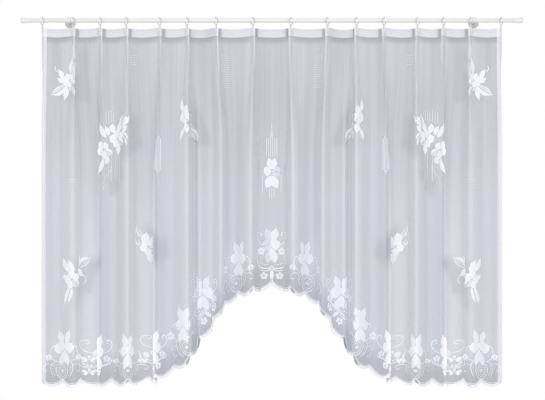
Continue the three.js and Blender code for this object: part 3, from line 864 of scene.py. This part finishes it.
class Drawing:
    """Figures on the flat cloth, in millimetres: each is a line with a half width at each point."""

    def __init__(self):
        self.bands = []

    def band(self, points, halves, across=1, weave="dense"):
        self.bands.append((np.array(points, float), np.array(halves, float), across, weave))

    def line(self, knots, width):
        """A thin line through knots, fine at both ends."""
        points = smooth_curve(knots, 6)
        share = np.linspace(0, 1, len(points))
        self.band(points, width / 2 * np.minimum(1.0, 0.35 + 6 * np.minimum(share, 1 - share)), 1, "line")

    def leaf(self, base, tip, width, bend=0.0, full=0.5, bright=1, pointed=0.9):
        """A leaf or petal about a midrib. The half that bright names, 1 or -1, is dense, and the other is
        sheer with a dense rim. Both are dense where bright is 0, and sheer where it is 2."""
        base, tip = np.array(base, float), np.array(tip, float)
        reach = tip - base
        side = np.array([-reach[1], reach[0]]) / np.linalg.norm(reach)
        share = np.linspace(0, 1, 9)[:, None]
        spine = base + reach * share + side * bend * 4 * share * (1 - share)
        flat = share[:, 0]
        swell = np.sin(math.pi * flat ** (math.log(0.5) / math.log(full)))
        wide = width / 2 * swell ** (0.6 + pointed * flat)
        if bright == 0:
            self.band(spine, np.maximum(wide, 0.3), max(3, round(width / 5)))
            return
        for flank in (-1, 1):
            middle = spine + side * flank * (wide[:, None] / 2 + 0.5)
            dense = bright == flank
            self.band(middle, np.maximum(wide / 2 - 0.1, 0.15), 2 if width < 24 else 3,
                      "dense" if dense else "sheer")
            if not dense and bright != 2:
                self.band(spine + side * flank * wide[:, None], 0.3 + 0.09 * wide, 1, "dense")

    def dot(self, x, y, radius):
        reach = np.array([-0.97, -0.5, 0.5, 0.97])
        self.band([(x + radius * part, y) for part in reach], radius * np.sqrt(1 - reach ** 2) + 0.05)

    def flower(self, x, y, radius):
        """A small open flower: five round petals about an open centre."""
        reach = np.array([0.22, 0.36, 0.60, 0.84, 1.0])
        wide = np.array([0.06, 0.24, 0.40, 0.32, 0.08]) * 1.08
        for number in range(5):
            petal = direction(90 + 72 * number) * radius
            self.band([(x, y) + petal * part for part in reach], radius * wide, 2)
        self.dot(x, y, radius * 0.13)

    def ring(self, x, y, radius, width):
        turn = np.linspace(0, math.tau, 17)
        self.band([(x + radius * math.cos(angle), y + radius * math.sin(angle)) for angle in turn],
                  np.full(17, width / 2))

    def dotted(self, knots, radius, spacing):
        points = smooth_curve(knots, 12)
        length = run_length(points)
        for place in np.arange(spacing / 2, length[-1], spacing):
            self.dot(np.interp(place, length, points[:, 0]), np.interp(place, length, points[:, 1]), radius)

    def add(self, other, place=lambda points: points):
        for points, *rest in other.bands:
            self.bands.append((place(points), *rest))


def both_sides(drawing):
    """The drawing and its mirror image about the middle line."""
    whole = Drawing()
    whole.add(drawing)
    whole.add(drawing, lambda points: points * (-1, 1))
    return whole


def woven(name, drawing, weave, finish, rise):
    """The bands of one weave, as closed bands that stand a little out of both faces of the net."""
    flats, heights, faces, start = [], [], [], 0
    for points, halves, across, kind in drawing.bands:
        if kind != weave:
            continue
        step = np.gradient(points, axis=0)
        step /= np.maximum(np.linalg.norm(step, axis=1, keepdims=True), 1e-9)
        side = np.stack([-step[:, 1], step[:, 0]], axis=1)
        share = np.linspace(-1, 1, across + 1)
        front = points[:, None] + side[:, None] * (halves[:, None] * share)[..., None]
        high = np.broadcast_to(rise * (1.0 - 0.18 * share ** 2), front.shape[:2])
        loop = np.concatenate([front, front[:, ::-1]], axis=1)
        height = np.concatenate([-high, high[:, ::-1]], axis=1)
        count, round_it = loop.shape[:2]
        index = start + np.arange(count * round_it).reshape(count, round_it)
        after = np.roll(index, -1, axis=1)
        faces += np.stack([index[:-1], index[1:], after[1:], after[:-1]], axis=-1).reshape(-1, 4).tolist()
        faces += [index[0].tolist(), index[-1, ::-1].tolist()]
        flats.append(loop.reshape(-1, 2))
        heights.append(height.ravel())
        start += count * round_it
    flat = np.concatenate(flats)
    height = np.concatenate(heights)
    drop = np.clip(-flat[:, 1], 0.0, None)
    normal = draped_normal(flat[:, 0], drop)
    corners = in_frame(draped(flat[:, 0], drop) + normal * height[:, None])
    piece = cloth_piece(name, corners, faces, flat, 50)
    # Painted light on figures that turn sideways to the lamp.
    add_attribute(piece, "turned", np.abs(normal[:, 0]))
    # Painted light on figures in the shade behind two fold crests.
    add_attribute(piece, "crest_shade_light", near(flat[:, 0], SHADING_CRESTS, 160.0, 14.0))
    settle(piece, finish, "net")
    return piece


def hem_place(along, above):
    """Flat place from the distance along the hem's arch, left of the middle, and above the arch."""
    along = np.asarray(along, float)
    flat = np.sign(along) * np.interp(np.abs(along), ARCH_LENGTH, ARCH_GRID)
    rise = (arch_height(flat + 2.0) - arch_height(flat - 2.0)) / 4.0
    long_side = np.sqrt(1 + rise ** 2)
    height = arch_height(flat) - top_height(flat)
    return np.stack([flat - above * rise / long_side, height + above / long_side], axis=-1)


def on_cloth(hung_x, height):
    """Flat place of the front-most cloth at a place as it hangs, both in millimetres."""
    drop = np.full(GRID.shape, TOP_EDGE - height)
    points = draped(GRID, drop)
    at_place = np.abs(points[:, 0] - hung_x) < 2.5
    depth = np.where(at_place, points[:, 1], 1000.0)
    return np.array([GRID[np.argmin(depth)], height - TOP_EDGE])


FLOWER_HEIGHT = 152.0


def on_hem(along, hung_x, height, to_side, to_middle, upright=20.0):
    """Places a border unit: its flower upright as it hangs, and what is below it along the hem."""
    centre = on_cloth(hung_x, height)

    def place(points):
        wide = points[:, 0] * np.where(points[:, 0] < 0, to_side, to_middle)
        bent = hem_place(along + wide, FLOWER_HEIGHT + points[:, 1])
        share = smoothstep(-points[:, 1], upright, 110.0)[:, None]
        return (centre + np.stack([wide, points[:, 1]], axis=1)) * (1 - share) + bent * share

    return place


def border_flower(side_weave=0):
    """The border's main flower: four petals upwards, a broad one at each side and three downwards."""
    drawing = Drawing()
    for side, weave in ((-1, side_weave), (1, 0)):
        drawing.leaf((8 * side, 20), (29 * side, 78), 33, 1.0 * side, 0.50, weave)
        drawing.leaf((1 * side, 6), (28 * side, 34), 26, 2.0 * side, 0.52, weave, pointed=0.1)
        drawing.leaf((1 * side, 3), (46 * side, -3), 44, 3.0 * side, 0.58, weave, pointed=-0.1)
        drawing.leaf((2 * side, -6), (24 * side, -70), 33, -2.0 * side, 0.58, weave, pointed=0.4)
    drawing.leaf((0, -8), (0, -54), 18, 0.0, 0.5, 0, pointed=0.4)
    drawing.ring(0, 0, 8.5, 2.6)
    drawing.flower(0, 0, 6.0)
    return drawing


def egg_scrolls():
    """Surroundings of every other flower: nested egg lines below it and scrolls beside it."""
    half = Drawing()
    half.line([(0, -62), (20, -70), (29, -98), (21, -130), (0, -146)], 2.6)
    half.line([(0, -76), (11, -86), (18, -104), (12, -124), (0, -132)], 1.8)
    half.line([(12, -68), (32, -58), (47, -76), (50, -104), (38, -134)], 2.6)
    half.line([(32, -58), (54, -42), (60, -12), (50, 10), (39, 3), (44, -9)], 2.8)
    half.line([(47, -76), (70, -72), (84, -92), (78, -110), (68, -102)], 2.2)
    half.dotted([(38, -78), (41, -104), (33, -126)], 2.0, 7.5)
    half.flower(68, -38, 15.5)
    whole = both_sides(half)
    whole.flower(0, -106, 8.0)
    for row in range(10):
        share = (row + 0.5) / 10
        reach = 27 * math.sqrt(4 * share * (1 - share))
        points = [(x, -64 - 80 * share) for x in np.linspace(-reach, reach, 7)]
        whole.band(points, np.full(7, 0.5), 1, "line")
    return whole


def garlands():
    """Surroundings of the others: hooked scrolls above, and dotted garlands under the flower."""
    half = Drawing()
    half.line([(30, 2), (50, 12), (62, 34), (58, 54), (44, 56), (42, 44), (50, 42)], 3.4)
    half.line([(62, -18), (58, -56), (36, -80), (8, -84), (0, -74)], 3.4)
    half.dotted([(56, -14), (50, -48), (32, -68), (8, -70)], 2.5, 8.5)
    half.line([(0, -84), (12, -92), (30, -92), (44, -84)], 2.6)
    half.flower(42, -22, 15.5)
    half.flower(28, -112, 15.0)
    half.line([(2, -88), (5, -110), (3, -136), (10, -146)], 2.8)
    whole = both_sides(half)
    whole.leaf((0, -92), (0, -128), 10, bright=0)
    return whole


# Border units of the left half from the middle outwards: place of the flower as it hangs, how much
# wider its surroundings are woven towards the side and the middle, where a fold hides some, and the
# same for the flower.
BORDER_UNITS = [
    (0, -943, (1.0, 1.0), (0.74, 0.74)), (-140, -1001, (1.3, 1.3), (1.05, 1.05)),
    (-289, -1143, (1.2, 1.3), (1.2, 1.1)), (-375, -1280, (1.0, 1.0), (0.9, 0.9)),
    (-494, -1376, (2.1, 1.2), (0.9, 0.9)), (-600, -1393, (1.15, 1.3), (1.0, 1.0)),
    (-730, -1397, (2.4, 1.25), (1.9, 0.7)), (-873, -1376, (1.2, 1.2), (1.2, 1.2)),
]
figures = Drawing()
for number, (hung_x, height, surroundings, flower) in enumerate(BORDER_UNITS):
    along = -2 * number * PITCH
    hung = Drawing()
    hung.add(border_flower(0 if number else 2), on_hem(along, hung_x, height, *flower, 70.0))
    hung.add(egg_scrolls() if number % 2 else garlands(), on_hem(along, hung_x, height, *surroundings))
    figures.add(both_sides(hung) if number else hung)

hem_along = np.arange(-EDGE_LENGTH + 2, EDGE_LENGTH - 1, 5.0)
edging = Drawing()
for above, half in ((6.2, 6.0), (16.5, 1.1)):
    edging.band(hem_place(hem_along, above - scallop_depth(hem_along)), np.full(len(hem_along), half), 1)


def turned(angle, size, centre):
    """Turns, scales and moves a drawing."""
    cos, sin = direction(angle) * size
    matrix = np.array([[cos, -sin], [sin, cos]])
    return lambda points: points @ matrix.T + centre


def bloom():
    """A spray's flower: five broad, pointed petals of uneven length, about a ring."""
    drawing = Drawing()
    for angle, reach, wide, bright in ((98, 44, 33, 0), (28, 36, 36, 0), (-42, 44, 30, 1), (-112, 42, 34, 0),
                                       (172, 38, 38, 0)):
        drawing.leaf(direction(angle) * 5, direction(angle) * reach, wide, 3.0, 0.58, bright)
    drawing.ring(0, 0, 6.0, 2.2)
    return drawing


def foliage(leaves):
    """Leaves of a spray: base across and up, tip across and up, width, bend and which half is dense."""
    drawing = Drawing()
    for base_x, base_y, tip_x, tip_y, width, bend, bright in leaves:
        drawing.leaf((base_x, base_y), (tip_x, tip_y), width, bend, bright=bright)
    return drawing


# Spray that climbs to the right, high at the side: a flower, broad leaves low on the left and
# narrow ones above.
climbing = foliage([
    (6, 22, 16, 98, 28, 4, 0), (22, -14, 32, 76, 14, 3, 1), (20, 84, 20, 156, 18, 2, -1),
    (32, 84, 38, 146, 10, 0, 0), (-26, 2, -46, 52, 22, -4, 0), (-10, 4, -48, 14, 26, 5, 0),
    (-10, -14, -72, -58, 34, 5, 1),
    (-14, -22, -20, -84, 28, 4, 0), (2, -20, 12, -50, 20, 0, -1), (18, -24, 30, -70, 10, 2, 1),
])
climbing.add(bloom(), turned(15, 0.74, (0, 0)))
climbing.line([(-46, 40), (-56, 52), (-52, 66)], 2.6)

# Spray that reaches down and to the right, with one broad leaf by itself.
reaching = foliage([
    (-16, 22, -26, 82, 19, 4, 0), (-10, 6, 4, 56, 34, 3, 0), (-8, -12, -26, 24, 26, 3, 0),
    (-6, -20, 2, -64, 34, 4, 0), (-8, -40, -28, -96, 20, -4, 0), (14, -26, 40, -40, 24, 4, 1),
    (24, -42, 64, -94, 34, 8, 1), (22, -52, 20, -88, 16, 2, 1),
])
reaching.add(bloom(), turned(0, 0.62, (-8, 4)))
reaching.line([(30, -46), (34, -10), (38, 26)], 3.0)

# Spray with a flower between two leaves above and a forked leaf below.
forked = foliage([
    (-10, 26, -46, 92, 26, 5, 0), (-2, 26, -20, 76, 32, -4, 0), (-24, -6, -48, 12, 22, -4, 0),
    (-8, -36, -36, -114, 22, -5, 0), (0, -38, -20, -110, 16, 4, 0), (30, 42, 76, 92, 32, 6, 1),
    (26, 42, 52, 12, 28, -4, 0), (4, 18, -2, 62, 26, 2, 0), (30, 60, 34, 98, 9, 0, 0),
])
forked.add(bloom(), turned(-8, 0.92, (0, -6)))
forked.line([(48, 20), (58, 4), (56, -16), (48, -22)], 3.0)

# Spray that is half hidden by a fold.
small_spray = foliage([
    (-10, 14, -6, 60, 36, 2, 0), (-2, -16, 10, -74, 26, 3, 0), (-20, 40, -44, 92, 18, 6, 1),
    (12, 10, 30, 52, 28, 0, 0), (-26, 10, -48, 28, 18, 4, 1),
])
small_spray.add(bloom(), turned(10, 0.85, (0, 0)))
small_spray.line([(-46, 70), (-52, 40), (-40, 12)], 2.6)

# Spray with two flowers, the largest, with long lines of yarn above and below it.
twin_spray = foliage([
    (-16, 26, -20, 66, 28, 3, 0), (0, 26, 10, 68, 28, -3, 0), (20, 38, 30, 100, 26, 3, 1),
    (28, 44, 62, 92, 32, 4, 0), (24, 22, 50, 50, 24, 0, 0), (26, 20, 50, -10, 22, 3, 1),
    (42, -2, 48, -32, 10, 0, 0), (0, -20, 2, -70, 30, 3, 0), (-44, 4, -82, 60, 32, 5, 0),
    (-36, 12, -52, 54, 24, -3, 0), (-62, -84, -88, -152, 22, 5, 0), (-40, -74, -54, -110, 26, 2, 0),
])
twin_spray.add(bloom(), turned(-6, 0.92, (0, 0)))
twin_spray.add(bloom(), turned(20, 0.92, (-60, -50)))
for number in range(6):
    x = -44 + 9.5 * number
    twin_spray.line([(x, 60 + 4 * number), (x, 92), (x, 112 + 5 * (number % 3))], 1.3)
    twin_spray.line([(x + 6, -44), (x + 6, -110), (x + 6, -170 - 14 * (number % 3))], 1.5)
twin_spray.dotted([(-26, -110), (-34, -140), (-56, -166), (-62, -220)], 2.2, 8.0)

# Sprays of the left half: place of the flower as it hangs, and how much wider each is woven
# towards the side and the middle, where the folds narrow it.
sprays = Drawing()
for spray, hung_x, height, to_side, to_middle in (
        (climbing, -851, -250, 1.25, 1.2), (reaching, -361, -410, 1.15, 1.5),
        (small_spray, -522, -945, 1.1, 1.1), (forked, -840, -1082, 1.2, 1.3),
        (twin_spray, -650, -492, 1.2, 1.3)):
    centre = on_cloth(hung_x, height)
    sprays.add(spray, lambda points: points * np.stack(
        [np.where(points[:, 0] < 0, to_side, to_middle), np.ones(len(points))], axis=1) + centre)
shading_sprays = both_sides(sprays)

# Patches of short woven bars: place as they hang, bars across and down.
BAR_PATCHES = [(-190, -215, 4, 15), (-838, -745, 6, 16), (-579, -165, 4, 5)]
for hung_x, height, across, down in BAR_PATCHES:
    centre = on_cloth(hung_x, height)
    for row in range(down):
        for column in range(across):
            x, y = (column - across / 2) * 9.0, (down / 2 - row) * 9.5
            x += 1.5 * math.sin(5 * row + column)
            sprays.band([centre + (x, y), centre + (x + 5.0, y)], (0.45, 0.45), 1, "sheer")
centre = on_cloth(-476, -560)
for number in range(5):
    x = (number - 2) * 8.5
    reach = 86 - 10 * abs(number - 2)
    points = [centre + (x, height) for height in np.linspace(reach, -reach, 15)]
    sprays.band(points, np.full(15, 1.5), 1, "line")
figures.add(both_sides(sprays))

# Flower on the middle line, with long lines of yarn above it and short ones beside it. One of its
# two broad petals is sheer.
bloom_height = -605.0
half_spray = foliage([
    (3, 16, 15, 64, 30, 2, 0), (3, -10, 25, -66, 34, -2, 0), (60, 120, 66, 168, 9, 0, 2),
    (60, 62, 64, 84, 8, 0, 2), (54, -4, 50, 34, 9, 0, 2),
])
for number in range(3):
    x = 38 + 9 * number
    half_spray.line([(x, -6 + 14 * number), (x, -50), (x, -84 - 6 * number)], 1.2)
middle_spray = both_sides(half_spray)
for side, weave in ((-1, 0), (1, 2)):
    middle_spray.leaf((2 * side, 2), (33 * side, 2), 44, 3.0 * side, 0.6, weave, pointed=0.1)
for number in range(6):
    x = 8.4 * (number - 2.5)
    middle_spray.line([(x, 64), (x, 110), (x, 150 + (22 if number in (2, 3) else 0))], 1.5)
middle_spray.line([(0, 150), (0, 180), (0, 212)], 1.5)
for number in range(3):
    x = 9.0 * (number - 1)
    middle_spray.line([(x, -66), (x, -90), (x, -112 + 8 * abs(number - 1))], 1.1)
middle_spray.ring(0, 0, 7.0, 2.4)
figures.add(middle_spray, lambda points: points + np.array([0.0, bloom_height]))

dense_yarn = Finish("dense_yarn", (0.80, 0.80, 0.87), 0.75)
dense_uv = dense_yarn.place("UV")
yarn_pitch = 0.0014
dense_yarn.bump(wave(axis(dense_uv, 1), yarn_pitch), 0.00015, 0.6)
dense_tone = dense_yarn.blend(dense_yarn.noise(dense_uv, 120.0), (0.74, 0.74, 0.80), (0.89, 0.89, 0.95))
# Painted light on figures that turn sideways to the lamp.
turned_away_light = ramp(attribute(dense_yarn, "turned"), 0.45, 0.95)
dense_tone = dense_yarn.blend(turned_away_light * 0.6, dense_tone, (0.94, 0.94, 1.0))
# Painted light on the figures that lie in the shade behind two fold crests.
dense_tone = dense_yarn.blend(attribute(dense_yarn, "crest_shade_light"), dense_tone, (0.99, 0.99, 1.0))
dense_yarn.feed("Base Color", dense_tone)
sheer_yarn = Finish("sheer_yarn", (0.76, 0.76, 0.83), 0.8)
sheer_yarn.feed("Alpha", 0.85)
line_yarn = Finish("line_yarn", (0.88, 0.88, 0.94), 0.75)

# Soft shade on the net itself: behind the sprays, in its outer top corners and down its middle.
FULL_SHADE = 9.0
CORNER_X = 908.0


def soft_shade(drawing, to_middle, down, reach):
    """How much of the soft shade of a drawing falls on each place of the net behind it."""
    points = np.concatenate([band[0] for band in drawing.bands if band[3] != "line"])
    hung = draped(points[:, 0], np.clip(-points[:, 1], 0, None))
    shade = np.zeros(flat_grid.shape)
    for x, _, z in hung[hung[:, 0] < 0]:
        away = (-np.abs(net_points[..., 0]) - x - to_middle) ** 2 + (net_points[..., 2] - z + down) ** 2
        shade += np.exp(-away / (2 * reach ** 2))
    return np.minimum(shade / FULL_SHADE, 1.0)


corner_shade = np.exp(-((np.abs(net_points[..., 0]) - CORNER_X) / 26.0) ** 2)
corner_shade *= 1 - smoothstep(drop_grid, 80.0, 330.0)
middle_shade = np.exp(-(flat_grid / 62.0) ** 2) * smoothstep(drop_grid, 60.0, 300.0)
spray_shade = soft_shade(shading_sprays, to_middle=42.0, down=14.0, reach=13.0)
shade_grid = np.maximum(spray_shade, 0.8 * corner_shade)
add_attribute(net, "shade", np.maximum(shade_grid, 0.45 * middle_shade))
settle(net, net_finish, "net", "curtain")

pieces = [
    woven("dense_figures", figures, "dense", dense_yarn, 0.78),
    woven("sheer_figures", figures, "sheer", sheer_yarn, 0.66),
    woven("line_figures", figures, "line", line_yarn, 0.72),
    woven("hem_edging", edging, "dense", dense_yarn, 0.72),
]
2 * HALF_WIDTH / 1000
2 * HALF_WIDTH / 1000


# Studio: a pale floor below the curtain, white surroundings, one large soft lamp in front and a
# level camera square to the curtain, far off as for a catalogue picture.

bpy.ops.mesh.primitive_plane_add(size=9.0, location=(0.0, 0.0, -2.35))
floor = bpy.context.object
floor.name = "studio_floor"
floor_finish = Finish("studio_white", (0.85, 0.85, 0.85), 0.9)
floor.data.materials.append(floor_finish.material)

world = bpy.data.worlds.new("studio")
bpy.context.scene.world = world
world.use_nodes = True
nodes = world.node_tree.nodes
sky = nodes["Background"]
sky.inputs["Color"].default_value = (1.0, 1.0, 1.0, 1.0)
ray = nodes.new("ShaderNodeLightPath")
level = nodes.new("ShaderNodeMapRange")
level.inputs["To Min"].default_value = 0.85
world.node_tree.links.new(ray.outputs["Is Camera Ray"], level.inputs["Value"])
world.node_tree.links.new(level.outputs["Result"], sky.inputs["Strength"])

lamp_place = np.array([0.0, -5.0, 1.2])
lamp_way = np.array([0.0, 0.0, -0.7]) - lamp_place
lamp_data = bpy.data.lights.new("key", "AREA")
lamp_data.shape = "RECTANGLE"
lamp_data.size, lamp_data.size_y = 4.0, 2.4
lamp_data.energy = 110.0
lamp = bpy.data.objects.new("key", lamp_data)
bpy.context.collection.objects.link(lamp)
lamp.location = lamp_place
lamp.rotation_euler = (math.acos(-lamp_way[2] / np.linalg.norm(lamp_way)), 0.0,
                       math.atan2(lamp_way[1], lamp_way[0]) - math.pi / 2)

PHOTO_WIDTH, PHOTO_HEIGHT = 545, 400
MM_PER_PIXEL = 4.2
MIDDLE_PIXEL = (271.8, 20.4)
camera_distance = 12.0
camera_data = bpy.data.cameras.new("camera")
camera = bpy.data.objects.new("camera", camera_data)
bpy.context.collection.objects.link(camera)
camera_data.sensor_width = 36.0
camera_data.lens = 36.0 * camera_distance / (PHOTO_WIDTH * MM_PER_PIXEL / 1000)
camera_data.clip_end = 100.0
camera.location = ((PHOTO_WIDTH / 2 - MIDDLE_PIXEL[0]) * MM_PER_PIXEL / 1000, rod_centre[1] - camera_distance,
                   (MIDDLE_PIXEL[1] - PHOTO_HEIGHT / 2) * MM_PER_PIXEL / 1000)
camera.rotation_euler = (math.radians(90), 0.0, 0.0)
bpy.context.scene.camera = camera
bpy.context.scene.view_settings.view_transform = "Standard"
